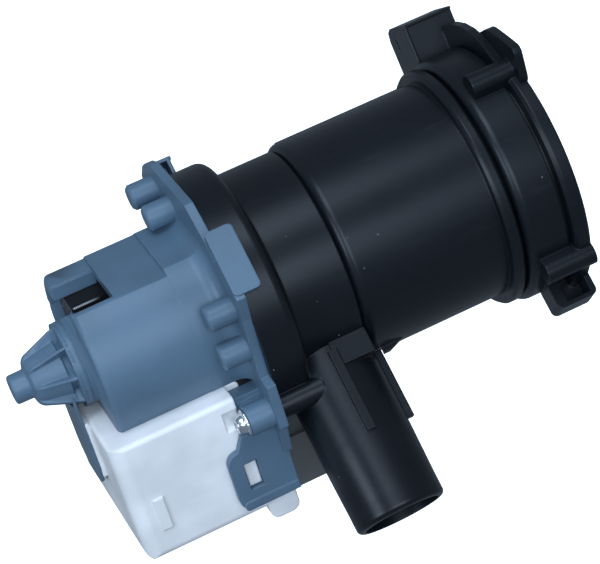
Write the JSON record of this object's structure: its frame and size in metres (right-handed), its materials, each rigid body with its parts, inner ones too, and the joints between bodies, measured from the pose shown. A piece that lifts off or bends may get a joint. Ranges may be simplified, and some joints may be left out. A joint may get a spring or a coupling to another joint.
{
  "type": "drain pump",
  "caption": "Washing machine drain pump with a filter chamber, twist-out lint filter, side outlet spout and a synchronous motor held by catches and one screw.",
  "frame": {"origin": "centre of the front face of the flange round the filter mouth, on the pump axis", "axes": "+X along the pump axis out of the filter mouth, -Y along the outlet spout, -Z along the inlet collar"},
  "size_m": [0.1813, 0.1474, 0.1163],
  "materials": {
    "black_plastic": "moulded, satin",
    "blue_plastic": "moulded, satin",
    "white_plastic": "moulded, satin",
    "grey_plastic": "moulded, matte",
    "impeller_plastic": "moulded, satin",
    "seal_rubber": "moulded",
    "terminal_brass": "rolled strip",
    "core_steel": "stacked laminations",
    "coil_copper": "enamelled wire",
    "magnet_ferrite": "sintered, dark",
    "shaft_steel": "ground",
    "screw_zinc": "bright zinc",
    "bearing_bush": "carbon filled"
  },
  "bodies": {
    "housing": {"filter_chamber": "black_plastic", "impeller_casing": "black_plastic", "motor_housing": "blue_plastic", "winding_case": "white_plastic", "connector_housing": "grey_plastic", "terminal_live": "terminal_brass", "terminal_neutral": "terminal_brass", "stator_core": "core_steel", "coil_near": "coil_copper", "coil_far": "coil_copper", "front_bearing": "bearing_bush", "rear_bearing": "bearing_bush", "chamber_cap": "black_plastic", "casing_seal": "seal_rubber", "joint_seal": "seal_rubber", "locking_screw": "screw_zinc"},
    "rotor": {"rotor_magnet": "magnet_ferrite", "rotor_shaft": "shaft_steel", "drive_dog": "shaft_steel"},
    "impeller": {"impeller": "impeller_plastic"},
    "filter": {"filter_plug": "black_plastic", "filter_basket": "impeller_plastic", "filter_seal": "seal_rubber"}
  },
  "joints": [
    {"name": "rotor_spin", "type": "hinge", "parent": "housing", "child": "rotor", "pos_m": [-0.1412, 0, 0], "axis": [1, 0, 0], "continuous": true},
    {"name": "impeller_lost_motion", "type": "hinge", "parent": "rotor", "child": "impeller", "pos_m": [-0.1, 0, 0], "axis": [1, 0, 0], "range_deg": [0, 234]},
    {"name": "filter_turn", "type": "hinge", "parent": "housing", "child": "filter", "pos_m": [-0.01, 0, 0], "axis": [1, 0, 0], "range_deg": [0, 90]}
  ]
}
